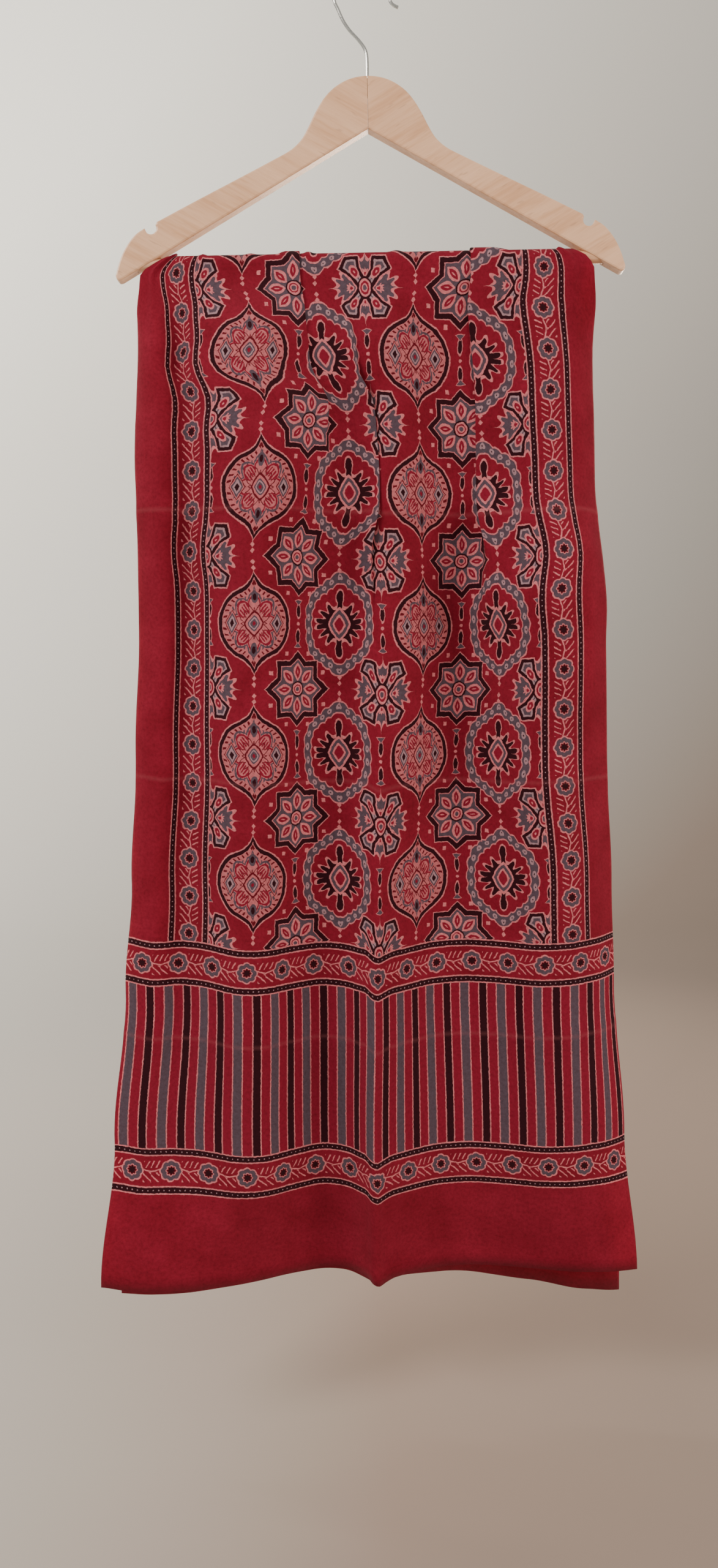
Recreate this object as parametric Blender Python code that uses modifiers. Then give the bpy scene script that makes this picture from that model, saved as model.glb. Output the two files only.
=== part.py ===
"""A block-printed cotton stole folded over the bar of a flat wooden clothes hanger.

Frame: +Z up, the front of the cloth faces -Y, +X to the right seen from the front.
The origin is the inner crown of the wire hook, where the hanger is held up.
Lengths below are millimetres; they are turned into metres where a mesh is made.
"""

import math

import bmesh
import bpy
import numpy as np
from mathutils import Matrix

MM = 0.001
SEAT_GAP = 0.3

# Hanger boards: heights are measured down from the hook's inner crown. The outline's points are
# drawn for boards that slope a little more, and BOARD_LIFT raises them for each millimetre out.
BOARD_LIFT = 0.018
BOARD_THICK = 13.0
BOARD_EDGE_ROUND = 1.5
CROWN_TOP = -92.0
APEX_Z = -134.3
UNDERSIDE_SLOPE = 0.558
JOINT_GAP = 0.3
TRIM_PAST_JOINT = 6.0
NOTCH_CENTRE = (186.5, -214.5)
NOTCH_RADIUS = 5.0
TIP_ROUND_START = (217.6, -253.0)
TIP_ROUND_END = (212.5, -256.8)

# The board's upper edge from the joint to the notch, and from the notch to the tip: (out, height)
CROWN_EDGE = (
    (-TRIM_PAST_JOINT, -92.5), (0.0, CROWN_TOP), (10.0, -93.2), (20.0, -96.6), (30.0, -103.0),
    (38.0, -111.5), (45.0, -122.5), (51.0, -134.0), (57.0, -143.5), (66.0, -151.5),
    (80.0, -159.0), (110.0, -174.0), (150.0, -193.8), (181.2, -209.6),
)
TIP_EDGE = ((191.6, -214.6), (199.5, -219.8), (207.0, -228.5), (213.0, -239.5), TIP_ROUND_START)

# Bar and hook
BAR_DIAMETER = 11.0
BAR_Z = -240.0
BAR_HALF_LENGTH = 202.0
BAR_SIDES = 32
WIRE_DIAMETER = 2.8
STEM_DEPTH = 15.0
LOOP_CENTRE_Z = -23.6
LOOP_HEIGHT = 25.0
LOOP_REACH_LEFT = 27.4
LOOP_REACH_RIGHT = 21.0
LOOP_STEPS = 22
NECK_PATH = ((0.0, -92.0), (0.0, -76.0), (-1.5, -68.5), (-6.5, -61.5), (-14.0, -53.5), (-19.6, -45.2))
FREE_END_PATH = ((20.3, -30.2), (21.6, -32.8), (24.2, -34.8), (27.0, -36.0))

# Cloth
CLOTH_WIDTH = 508.0
CLOTH_THICK = 1.0
FRONT_LENGTH = 905.0
BACK_LENGTH = 927.0
FOLD_TURN = 3.6
PLEAT_RELEASE = 8.0
WRAP_RADIUS = BAR_DIAMETER / 2 + SEAT_GAP + CLOTH_THICK / 2
WAVES_START = 80.0
PANELS_APART = 2.6
BACK_GATHER = 0.055
GATHER_START = 40.0
EDGE_CLEARANCE = 2.3
BUNCH_FROM = 110.0
CREASE_SPACING = 234.0
CREASE_FIRST = 211.0
CREASE_HEIGHT = 2.5
CREASE_HALF_WIDTH = 26.0

# Places across the cloth from its left selvedge: the selvedge, the roll beside it, the border's
# first line, its vine, its second line, then the motif columns, and the same on the right
PLACES = (0, 22, 43, 60, 95, 123, 150, 178, 205, 230, 245, 253, 300, 330, 365, 400, 432, 465, 490, 508)

# Sections across the cloth, each at a drop below the bar: where the cloth's middle hangs left or
# right of the hook, and the cloth's lean in degrees at each of those places. Plus means that it
# comes forward going right.
SECTIONS = (
    (0, -5, (0, 0, 0, 0, 0, 0, 0, 0, 0, 0, 0, 0, 0, 0, 0, 0, 0, 0, 0, 0)),
    (40, -5, (80, 35, -60, 50, 10, 0, -26, -26, 6, 36, 15, -8, -30, -20, 0, 25, 12, -20, -45, -60)),
    (185, 2, (52, 30, -50, 42, 15, 10, -40, -40, -20, 28, 24, -10, -40, -26, 16, 34, 16, -25, -45, -48)),
    (310, 5, (46, 28, -50, 45, 32, 5, -42, -48, -15, 40, 30, -14, -46, -34, 50, 48, 18, -25, -50, -50)),
    (430, 1, (46, 20, -50, 35, 34, -5, -44, -46, -5, 46, 36, -24, -46, -34, 38, 48, 8, -35, -50, -50)),
    (542, -2, (42, 20, -45, 25, 32, -5, -46, -32, 10, 46, 40, -38, -40, -18, 20, 32, 5, -36, -50, -50)),
    (640, -5, (30, 15, -30, 20, 28, -5, -42, -34, 15, 46, 44, -40, -36, -16, 12, 24, 5, -30, -50, -55)),
    (780, -8, (10, 8, -8, 8, 14, -5, -36, -32, 14, 48, 48, -36, -26, -10, 10, 16, 5, -14, -32, -40)),
    (905, -8, (10, 6, -2, -12, -22, -26, -28, -24, 6, 42, 48, -34, -20, -6, 6, 12, 16, 4, -8, -10)),
)

# Where the left and the right selvedge of the front hang, at each drop
SELVEDGES = (
    (0, -189, 186), (12, -197, 191), (42, -201, 195), (185, -206, 198), (310, -210, 204), (430, -215, 209),
    (542, -223, 215), (640, -232, 218), (780, -247, 225), (905, -259, 233),
)

# How much lower than level the front and the back come to hang, at places across the cloth
SAG_FULL_AT = 560.0
SAG = (
    (0, -9, -15), (30, -6, -14), (64, -5, -13), (128, 0, -11), (195, 1, -8), (238, 3, -6), (254, 10, -5),
    (272, 7, -4), (324, 6, 0), (410, 7, 7), (472, 5, 11), (508, 5, 13),
)

# Knife pleats, each a row down the cloth: drop below the bar, middle of the turned-under part
# from the left selvedge, its flat length, and how far it turns from the cloth beside it. Minus
# lays the left part over the right.
PLEATS = (
    ((0, 180, 9, -180), (60, 181, 8, -180), (100, 186, 4, -150), (145, 190, 4, -50), (210, 195, 5, 0)),
    ((0, 239, 1, 0), (80, 241, 3, -60), (130, 242, 6, -180), (190, 244, 5, -180), (260, 244, 2, -70),
     (340, 245, 2, 0)),
    ((0, 374, 16, 180), (110, 374, 10, 180), (185, 371, 8, 180), (260, 368, 8, 70), (330, 366, 12, 20),
     (430, 366, 12, 0)),
)

# How many spans lie between the selvedge, each pleat and the other selvedge
SPANS_BETWEEN = (8, 2, 6, 7)
ROWS_DOWN = (0, 6, 14, 26, 42, 62, 86, 112, 140, 170, 211, 252, 300, 350, 400, 445, 490, 540, 590, 640, 679,
             730, 790, 850)
WRAP_ROWS = 9
FINE_STEP = 0.5


def clear_scene():
    for item in list(bpy.data.objects):
        bpy.data.objects.remove(item, do_unlink=True)


def collection(name):
    made = bpy.data.collections.new(name)
    bpy.context.scene.collection.children.link(made)
    return made


def material(name, colour, roughness, metallic=0.0):
    made = bpy.data.materials.new(name)
    made.use_nodes = True
    shader = made.node_tree.nodes["Principled BSDF"]
    shader.inputs["Base Color"].default_value = (*colour, 1.0)
    shader.inputs["Roughness"].default_value = roughness
    shader.inputs["Metallic"].default_value = metallic
    made.diffuse_color = (*colour, 1.0)
    return made


def add_object(name, data, home, surface=None):
    made = bpy.data.objects.new(name, data)
    home.objects.link(made)
    if surface is not None:
        data.materials.append(surface)
    return made


def smooth_path(points, steps):
    """Catmull-Rom curve through the points, with the given steps between two of them."""
    p = np.array(points, float)
    p = np.vstack([2 * p[0] - p[1], p, 2 * p[-1] - p[-2]])
    t = np.linspace(0, 1, steps, endpoint=False)[:, None]
    runs = []
    for a, b, c, d in zip(p, p[1:], p[2:], p[3:]):
        runs.append(0.5 * (2 * b + (c - a) * t + (2 * a - 5 * b + 4 * c - d) * t**2
                           + (3 * b - a - 3 * c + d) * t**3))
    return np.vstack(runs + [p[-2:-1]])


def arc(centre, radius, start, end, steps):
    """Points on a circle from one angle to another, in degrees."""
    angles = np.radians(np.linspace(start, end, steps))
    return np.stack([centre[0] + radius * np.cos(angles), centre[1] + radius * np.sin(angles)], axis=1)


def arm_outline():
    """Outline of the right-hand board: crown, strap notch, rounded tip, straight underside."""
    crown = smooth_path(CROWN_EDGE, 4)
    notch = arc(NOTCH_CENTRE, NOTCH_RADIUS, 150, 330, 9)
    tip = smooth_path(TIP_EDGE, 3)
    corner = smooth_path((TIP_ROUND_START, (217.0, -255.8), (215.2, -257.3), TIP_ROUND_END), 2)[1:]
    apex = ((0.0, APEX_Z), (-TRIM_PAST_JOINT, APEX_Z))
    outline = np.vstack([crown, notch, tip, corner, apex])
    outline[:, 1] += BOARD_LIFT * outline[:, 0]
    return outline


def curve_object(name, points, home, closed=False):
    """Poly curve through points given as (x, z) or (x, y, z) in millimetres."""
    data = bpy.data.curves.new(name, "CURVE")
    data.dimensions = "2D" if closed else "3D"
    spline = data.splines.new("POLY")
    spline.points.add(len(points) - 1)
    spline.use_cyclic_u = closed
    for point, place in zip(spline.points, points):
        x, z = place
        point.co = (x * MM, z * MM, 0.0, 1.0) if closed else (x * MM, 0.0, z * MM, 1.0)
    return add_object(name, data, home)


def curve_to_mesh(item, home, surface):
    """Swap a curve object for a welded mesh object of the same name and place."""
    bpy.context.view_layer.update()
    depsgraph = bpy.context.evaluated_depsgraph_get()
    data = bpy.data.meshes.new_from_object(item.evaluated_get(depsgraph))
    place = item.matrix_world.copy()
    name = item.name
    bpy.data.objects.remove(item, do_unlink=True)
    shape = bmesh.new()
    shape.from_mesh(data)
    bmesh.ops.remove_doubles(shape, verts=shape.verts, dist=1e-6)
    bmesh.ops.recalc_face_normals(shape, faces=shape.faces)
    shape.to_mesh(data)
    shape.free()
    data.materials.clear()
    made = add_object(name, data, home, surface)
    made.matrix_world = place
    return made


def cutter_box(name, low, high, home):
    shape = bmesh.new()
    bmesh.ops.create_cube(shape, size=1.0)
    low = np.array(low) * MM
    high = np.array(high) * MM
    bmesh.ops.transform(shape, matrix=Matrix.Diagonal((*(high - low), 1.0)), verts=shape.verts)
    return finish_cutter(name, shape, (low + high) / 2, home)


def cutter_round(name, radius, length, middle, turn, home):
    shape = bmesh.new()
    bmesh.ops.create_cone(shape, cap_ends=True, segments=BAR_SIDES, radius1=radius * MM,
                          radius2=radius * MM, depth=length * MM, matrix=turn)
    return finish_cutter(name, shape, np.array(middle) * MM, home)


def finish_cutter(name, shape, place, home):
    data = bpy.data.meshes.new(name)
    shape.to_mesh(data)
    shape.free()
    made = add_object(name, data, home)
    made.location = place
    made.hide_render = True
    made.display_type = "WIRE"
    return made


def cut(item, tool):
    step = item.modifiers.new(tool.name, "BOOLEAN")
    step.operation = "DIFFERENCE"
    step.solver = "EXACT"
    step.object = tool


def make_arm(name, side, home, cutters, surface):
    """One board of the hanger; side is 1 for the right-hand board and -1 for the left."""
    outline = arm_outline() * (side, 1.0)
    flat = curve_object(name, outline, home, closed=True)
    flat.data.fill_mode = "BOTH"
    flat.data.bevel_depth = BOARD_EDGE_ROUND * MM
    flat.data.bevel_resolution = 1
    flat.data.offset = -BOARD_EDGE_ROUND * MM
    flat.data.extrude = (BOARD_THICK / 2 - BOARD_EDGE_ROUND) * MM
    flat.rotation_euler = (math.pi / 2, 0.0, 0.0)
    board = curve_to_mesh(flat, home, surface)
    board.data.shade_smooth()
    board.data.set_sharp_from_angle(angle=math.radians(50))

    joint = sorted((side * JOINT_GAP / 2, -side * 3 * TRIM_PAST_JOINT))
    trim = cutter_box(name + "_joint_cut", (joint[0], -BOARD_THICK, APEX_Z - 20),
                      (joint[1], BOARD_THICK, CROWN_TOP + 20), cutters)
    cut(board, trim)
    stem = cutter_round(name + "_stem_hole", WIRE_DIAMETER / 2 + SEAT_GAP, 2 * STEM_DEPTH,
                        (0, 0, CROWN_TOP - SEAT_GAP), Matrix.Identity(4), cutters)
    cut(board, stem)
    deep = BAR_HALF_LENGTH + SEAT_GAP
    run = deep - 150.0
    hole = cutter_round(name + "_bar_hole", BAR_DIAMETER / 2 + SEAT_GAP, run,
                        (side * (deep - run / 2), 0, BAR_Z), Matrix.Rotation(math.pi / 2, 4, "Y"), cutters)
    cut(board, hole)
    return board


def make_bar(home, surface):
    shape = bmesh.new()
    bmesh.ops.create_cone(shape, cap_ends=True, segments=BAR_SIDES, radius1=BAR_DIAMETER / 2 * MM,
                          radius2=BAR_DIAMETER / 2 * MM, depth=2 * BAR_HALF_LENGTH * MM,
                          matrix=Matrix.Rotation(math.pi / 2, 4, "Y"))
    data = bpy.data.meshes.new("hanger_bar")
    shape.to_mesh(data)
    shape.free()
    data.shade_smooth()
    data.set_sharp_from_angle(angle=math.radians(50))
    bar = add_object("hanger_bar", data, home, surface)
    bar.location = (0.0, 0.0, BAR_Z * MM)
    return bar


def hook_path():
    """Stem, neck bend, loop made of two unlike quarter ellipses, and the turned-out free end."""
    angles = np.radians(np.linspace(-120, 100, LOOP_STEPS))
    reach = np.where(angles < 0, LOOP_REACH_LEFT, LOOP_REACH_RIGHT)
    loop = np.stack([reach * np.sin(angles), LOOP_CENTRE_Z + LOOP_HEIGHT * np.cos(angles)], axis=1)
    neck = smooth_path(NECK_PATH + (tuple(loop[0]),), 4)[:-1]
    stem = ((0.0, CROWN_TOP - STEM_DEPTH),)
    free_end = smooth_path((tuple(loop[-1]),) + FREE_END_PATH, 2)[1:]
    return np.vstack([stem, neck, loop, free_end])


def make_hook(home, surface):
    wire = curve_object("hook", hook_path(), home)
    wire.data.bevel_depth = WIRE_DIAMETER / 2 * MM
    wire.data.bevel_resolution = 2
    wire.data.use_fill_caps = True
    wire.data.materials.append(surface)
    return wire


def ease(amount):
    """Smooth step from 0 to 1."""
    t = np.clip(amount, 0.0, 1.0)
    return t * t * (3 - 2 * t)


def rows_at(drop, rows):
    """Each column of a table whose rows start with a drop, eased between its rows."""
    at = np.array([row[0] for row in rows], float)
    columns = np.array([row[1:] for row in rows], float)
    i = np.clip(np.searchsorted(at, drop, side="right") - 1, 0, len(at) - 2)
    part = ease((drop - at[i]) / (at[i + 1] - at[i]))[:, None]
    return columns[i] * (1 - part) + columns[i + 1] * part


def pleat_reach(flat):
    """How far from a pleat's middle the cloth still lies over or under the turned part."""
    return 1.5 * flat + FOLD_TURN + 1.0


def column_places(drop):
    """Where the grid's columns run on the cloth: they follow each pleat's two turns."""
    stops = [np.zeros((len(drop), 1))]
    for rows, spans in zip(PLEATS, SPANS_BETWEEN):
        middle, flat, _ = rows_at(drop, rows).T
        half = flat / 2
        away = np.stack([half, half + FOLD_TURN / 2, half + FOLD_TURN, pleat_reach(flat)], axis=1)
        turns = middle[:, None] + np.hstack([-away[:, ::-1], away])
        share = np.linspace(0, 1, spans + 1)[None, 1:-1]
        stops.append(stops[-1][:, -1:] * (1 - share) + turns[:, :1] * share)
        stops.append(turns)
    share = np.linspace(0, 1, SPANS_BETWEEN[-1] + 1)[None, 1:]
    stops.append(stops[-1][:, -1:] * (1 - share) + CLOTH_WIDTH * share)
    return np.hstack(stops)


def lean_at(u, drop, table):
    """Lean of the cloth in radians at places u for each drop, held level through a pleat's layers.

    Inside a pleat, and for the width that it covers on each side, the cloth takes the lean at the
    pleat's middle, so that its three layers lie parallel."""
    level = np.repeat(u[None, :], len(drop), axis=0)
    for rows in PLEATS:
        middle, flat, turn = rows_at(drop, rows).T[:, :, None]
        away = u[None, :] - middle
        held = np.clip((np.abs(away) - pleat_reach(flat)) * 1.5, 0, np.abs(away)) * np.sign(away)
        level += (held - away) * ease(np.abs(turn) / 90)
    places = np.array(PLACES, float)
    i = np.clip(np.searchsorted(places, level, side="right") - 1, 0, len(places) - 2)
    part = ease((level - places[i]) / (places[i + 1] - places[i]))
    lean = np.take_along_axis(table, i, 1) * (1 - part) + np.take_along_axis(table, i + 1, 1) * part
    return np.radians(lean)


def cross_sections(drop):
    """Distance across and outward offset of the cloth at fine places u, a row for each drop.

    With a the cloth's lean and t a pleat's turn, the distance is the sum of cos a cos t, the
    soft waves' offset that of sin a cos t, and the pleats' layers that of cos a sin t."""
    u = np.arange(0.0, CLOTH_WIDTH + FINE_STEP / 2, FINE_STEP)
    table = rows_at(drop, [(row[0], row[1], *row[2]) for row in SECTIONS])
    lean = lean_at(u, drop, table[:, 1:])
    turned = np.zeros_like(lean)
    lift = np.zeros_like(lean)
    for rows in PLEATS:
        middle, flat, turn = rows_at(drop, rows).T[:, :, None]
        inside = np.clip(1 - (np.abs(u[None, :] - middle) - flat / 2) / FOLD_TURN, 0, 1)
        turned += np.radians(turn) * inside
        stack = FOLD_TURN * 4 / math.pi * ease(np.abs(turn) / 180)
        past = (u[None, :] - middle) * np.sign(turn) - pleat_reach(flat)
        fallen = ease(past / PLEAT_RELEASE)
        lift += stack * np.where(turn < 0, fallen - 1, fallen)
    across = np.cumsum(np.cos(lean) * np.cos(turned), axis=1) * FINE_STEP
    wave = np.cumsum(np.sin(lean) * np.cos(turned), axis=1) * FINE_STEP
    layer = np.cumsum(np.cos(lean) * np.sin(turned), axis=1) * FINE_STEP
    started = ease(drop / WAVES_START)[:, None]
    wave = (wave - wave.mean(axis=1, keepdims=True)) * started
    layer = layer - lift * (1 - started) - layer.mean(axis=1, keepdims=True) * started
    middle_now = across[:, u.searchsorted(CLOTH_WIDTH / 2)][:, None]
    return u, across - middle_now + table[:, :1], wave, layer


def nested(x, across, wave):
    """The waves' offset read at each x, so that the back hangs in the front's own waves."""
    rows = []
    for places, run, offsets in zip(x, across, wave):
        order = np.argsort(run)
        rows.append(np.interp(places, run[order], offsets[order]))
    return np.array(rows)


def bunched(x, edge):
    """The cloth beyond BUNCH_FROM drawn in or out, so that its selvedge comes to the given reach.

    With s the share of the way out, p the old reach over the new, or 1 if the cloth is drawn out,
    the new share is 1 - (1 - s) to the power p, so that the selvedge itself is drawn in most."""
    reach = np.where(x < 0, -x[:, :1], x[:, -1:]) - BUNCH_FROM
    share = np.clip((np.abs(x) - BUNCH_FROM) / reach, 0, 1)
    drawn = 1 - (1 - share) ** np.maximum(reach / (edge - BUNCH_FROM), 1)
    outer = np.sign(x) * (BUNCH_FROM + (edge - BUNCH_FROM) * drawn)
    return np.where(np.abs(x) > BUNCH_FROM, outer, x)


def drape():
    """Points of the draped cloth's middle surface, a row for each height along it."""
    front = FRONT_LENGTH - np.array(ROWS_DOWN[::-1], float)
    front = np.concatenate([[0.0], front])
    wrap = FRONT_LENGTH + math.pi * WRAP_RADIUS * np.arange(1, WRAP_ROWS) / WRAP_ROWS
    over = FRONT_LENGTH + math.pi * WRAP_RADIUS
    back = over + np.concatenate([np.array(ROWS_DOWN, float), [BACK_LENGTH]])
    along = np.concatenate([front, wrap, back])

    turn = np.clip((along - FRONT_LENGTH) / WRAP_RADIUS, 0.0, math.pi)
    drop = np.maximum(FRONT_LENGTH - along, 0.0) + np.maximum(along - over, 0.0)
    is_back = (along > FRONT_LENGTH + math.pi * WRAP_RADIUS / 2)[:, None]
    u, across, wave, layer = cross_sections(drop)
    columns = column_places(drop)

    def pick(values):
        return np.array([np.interp(places, u, row) for places, row in zip(columns, values)])

    crease = np.abs((drop - CREASE_FIRST + CREASE_SPACING / 2) % CREASE_SPACING - CREASE_SPACING / 2)
    ridge = CREASE_HEIGHT * np.clip(1 - crease / CREASE_HALF_WIDTH, 0, 1)[:, None]
    gathered = 1 - np.where(is_back, BACK_GATHER, 0) * ease(drop / GATHER_START)[:, None]
    x = pick(across) * gathered
    outward = pick(layer) + np.where(is_back, -1, 1) * nested(x, across, wave) + ridge
    outward += PANELS_APART * ease(drop / WAVES_START)[:, None]
    y = -np.cos(turn)[:, None] * (WRAP_RADIUS + outward)
    front_sag, back_sag = rows_at(columns.ravel(), SAG).T.reshape(2, *columns.shape)
    sag = np.where(is_back, back_sag, front_sag) * ease(drop / SAG_FULL_AT)[:, None]
    z = BAR_Z - drop[:, None] - sag + np.sin(turn)[:, None] * (WRAP_RADIUS + outward)

    left, right = rows_at(drop, SELVEDGES).T[:, :, None]
    x = bunched(x, np.where(x < 0, -left, right) * gathered)
    room = (APEX_Z - EDGE_CLEARANCE - CLOTH_THICK - z) / UNDERSIDE_SLOPE
    x = bunched(x, np.minimum(room, np.where(x < 0, -x[:, :1], x[:, -1:])))
    return np.stack([x, y, z], axis=2)


def make_stole(home, surface):
    points = drape() * MM
    rows, columns = points.shape[:2]
    shape = bmesh.new()
    bmesh.ops.create_grid(shape, x_segments=columns - 1, y_segments=rows - 1, size=0.5)
    for vert in shape.verts:
        column = round((vert.co.x + 0.5) * (columns - 1))
        row = round((vert.co.y + 0.5) * (rows - 1))
        vert.co = points[row, column]
    data = bpy.data.meshes.new("stole")
    shape.to_mesh(data)
    shape.free()
    data.shade_smooth()
    stole = add_object("stole", data, home, surface)
    sheet = stole.modifiers.new("cloth_thickness", "SOLIDIFY")
    sheet.thickness = CLOTH_THICK * MM
    sheet.offset = 0.0
    return stole


clear_scene()
part = collection("stole_on_hanger")
tools = collection("cutters")
beech = material("beech_wood", (0.68, 0.43, 0.26), 0.5)
steel = material("bright_steel", (0.62, 0.62, 0.62), 0.2, 1.0)
cotton = material("madder_red_cotton", (0.42, 0.012, 0.02), 0.9)

make_arm("hanger_arm_left", -1, part, tools, beech)
make_arm("hanger_arm_right", 1, part, tools, beech)
make_bar(part, beech)
make_hook(part, steel)
make_stole(part, cotton)
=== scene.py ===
"""Looks of a block-printed cotton stole folded over the bar of a flat beech hanger.

Frame: metres, +Z up, the front of the cloth faces -Y, +X to the right seen from the front. The origin
is the inner crown of the wire hook. Sizes are written in millimetres and multiplied by MM.
"""

import math

import bpy
import numpy as np
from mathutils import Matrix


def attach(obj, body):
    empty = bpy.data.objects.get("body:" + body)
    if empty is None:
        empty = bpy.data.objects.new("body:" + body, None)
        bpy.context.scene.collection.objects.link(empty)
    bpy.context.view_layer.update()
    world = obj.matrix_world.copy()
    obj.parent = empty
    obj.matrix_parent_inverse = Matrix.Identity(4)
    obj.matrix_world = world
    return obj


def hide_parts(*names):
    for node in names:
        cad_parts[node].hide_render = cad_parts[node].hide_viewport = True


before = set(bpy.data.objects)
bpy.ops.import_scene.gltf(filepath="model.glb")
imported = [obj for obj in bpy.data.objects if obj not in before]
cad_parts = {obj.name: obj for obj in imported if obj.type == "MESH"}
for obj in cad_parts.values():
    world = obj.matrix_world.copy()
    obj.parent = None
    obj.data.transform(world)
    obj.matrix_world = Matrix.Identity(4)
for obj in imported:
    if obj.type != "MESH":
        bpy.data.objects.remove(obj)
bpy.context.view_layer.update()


# Hanger boards and bar: two flat halves of steamed beech, sawn, sanded with a rounded edge and
# mitred together under the crown, with a turned beech dowel between their feet. The finish is a
# thin satin varnish that has yellowed a little.


def linear(code):
    """An sRGB hex colour as linear red, green, blue and an alpha of 1."""
    parts = [int(code[i:i + 2], 16) / 255 for i in (0, 2, 4)]
    return (*[c / 12.92 if c <= 0.04045 else ((c + 0.055) / 1.055) ** 2.4 for c in parts], 1.0)


def add_node(tree, kind, *inputs, output=0, **settings):
    """Add a node, set it, and link or set its inputs in order; None leaves an input as it is."""
    made = tree.nodes.new("ShaderNode" + kind)
    for name, value in settings.items():
        setattr(made, name, value)
    for socket, value in zip(made.inputs, inputs):
        if isinstance(value, bpy.types.NodeSocket):
            tree.links.new(value, socket)
        elif value is not None:
            socket.default_value = value
    return made.outputs[output]


def with_stops(colour, stops, interpolation="LINEAR"):
    """Give the ramp that makes a colour its table of (position, colour)."""
    table = colour.node.color_ramp
    table.interpolation = interpolation
    while len(table.elements) < len(stops):
        table.elements.new(1.0)
    for element, (position, value) in zip(table.elements, stops):
        element.position = position
        element.color = value
    return colour


def new_material(name, **settings):
    """A material with a Principled shader whose constant sockets are set by name."""
    made = bpy.data.materials.new(name)
    made.use_nodes = True
    shader = made.node_tree.nodes["Principled BSDF"]
    for socket, value in settings.items():
        shader.inputs[socket.replace("_", " ")].default_value = value
    return made, made.node_tree, shader


def dress(node_name, material):
    """Give a node of the frame its material."""
    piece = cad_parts[node_name]
    piece.data.materials.clear()
    piece.data.materials.append(material)


MM = 0.001
BEECH_PALE = "EDBF9A"
BEECH_MID = "E4B48E"
BEECH_DARK = "D6A27A"
BEECH_FLECK = "9A6A4C"
BOARD_SLANT = math.radians(29.0)
GRAIN_WIDTH = 3.2
GRAIN_STRETCH = 14.0
GRAIN_HEIGHT = 0.4
BROAD_GRAIN = 7
FLECK_LENGTH = 2.4
FLECK_STRETCH = 6.0
FLECK_COVER = ((0.68, (0, 0, 0, 1)), (0.78, (0.35, 0.35, 0.35, 1)))


def beech(name, slant):
    """Varnished beech: long soft grain along the piece, with short brown ray flecks."""
    material, tree, shader = new_material(name, Roughness=0.42, Coat_Weight=0.25, Coat_Roughness=0.3)
    place = add_node(tree, "TexCoord", output=3)
    along = add_node(tree, "Mapping", place, None, (0.0, slant, 0.0))
    grain_size = (1 / (GRAIN_WIDTH * GRAIN_STRETCH * MM), 1 / (GRAIN_WIDTH * MM), 1 / (GRAIN_WIDTH * MM))
    grain_place = add_node(tree, "Mapping", along, None, None, grain_size)
    grain = add_node(tree, "TexNoise", grain_place, None, 1.0, 3.0, 0.6)
    broad_size = tuple(size / BROAD_GRAIN for size in grain_size)
    broad_place = add_node(tree, "Mapping", along, None, None, broad_size)
    broad = add_node(tree, "TexNoise", broad_place, None, 1.0, 2.0, 0.5)
    both = add_node(tree, "Math", grain, broad, operation="MULTIPLY")
    stops = ((0.14, linear(BEECH_DARK)), (0.25, linear(BEECH_MID)), (0.42, linear(BEECH_PALE)))
    wood = with_stops(add_node(tree, "ValToRGB", both), stops)
    fleck_size = (1 / (FLECK_LENGTH * FLECK_STRETCH * MM), 1 / (FLECK_LENGTH * MM), 1 / (FLECK_LENGTH * MM))
    fleck_place = add_node(tree, "Mapping", along, (0.31, 0.0, 0.17), None, fleck_size)
    fleck = add_node(tree, "TexNoise", fleck_place, None, 1.0, 1.0, 0.4)
    marked = with_stops(add_node(tree, "ValToRGB", fleck), FLECK_COVER)
    colour = add_node(tree, "Mix", marked, None, None, None, None, None, wood, linear(BEECH_FLECK),
                      output=2, data_type="RGBA")
    tree.links.new(colour, shader.inputs["Base Color"])
    relief = add_node(tree, "Bump", 0.12, GRAIN_HEIGHT * MM, None, both)
    tree.links.new(relief, shader.inputs["Normal"])
    return material


dress("hanger_arm_left", beech("varnished_beech_left", -BOARD_SLANT))
dress("hanger_arm_right", beech("varnished_beech_right", BOARD_SLANT))
dress("hanger_bar", beech("turned_beech_dowel", 0.0))

# Hook: drawn steel wire bent on a former and zinc plated, its stem let into the joint of the
# boards. It shines, with fine lines along the wire from the drawing die.
STEEL = "C9C9C6"
STEEL_DARK = "A9A9A6"
DRAW_LINE = 0.6

wire, wire_tree, wire_shader = new_material("bright_zinc_plated_wire", Metallic=1.0)
wire_place = add_node(wire_tree, "TexCoord", output=3)
wire_lines = add_node(wire_tree, "TexNoise", wire_place, None, 1 / (DRAW_LINE * MM), 2.0, 0.6)
wire_gloss = add_node(wire_tree, "MapRange", wire_lines, 0.3, 0.7, 0.16, 0.34)
wire_stops = ((0.3, linear(STEEL_DARK)), (0.7, linear(STEEL)))
wire_tint = with_stops(add_node(wire_tree, "ValToRGB", wire_lines), wire_stops)
wire_tree.links.new(wire_gloss, wire_shader.inputs["Roughness"])
wire_tree.links.new(wire_tint, wire_shader.inputs["Base Color"])
dress("hook", wire)


# Stole: one thin cotton sheet 508 mm wide and 1852 mm long, printed on both faces and folded once
# over the bar. It was stored folded, so it keeps soft cross creases, and it hangs in shallow waves
# from three knife pleats that were pinched up at the bar.
CLOTH_WIDTH = 508.0
CLOTH_LENGTH = 1852.0
CLOTH_THICK = 0.35
BAR_Z = -240.0
BAR_RADIUS = 5.5
SEAT_GAP = 0.4
FRONT_LENGTH = 905.0
BACK_LENGTH = 927.0
FOLD_TURN = 1.8
PLEAT_RELEASE = 8.0
WAVES_START = 80.0
PANELS_APART = 2.6
BACK_GATHER = 0.055
GATHER_START = 40.0
FINE_STEP = 0.5
WRAP_RADIUS = BAR_RADIUS + SEAT_GAP + 0.8

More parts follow.
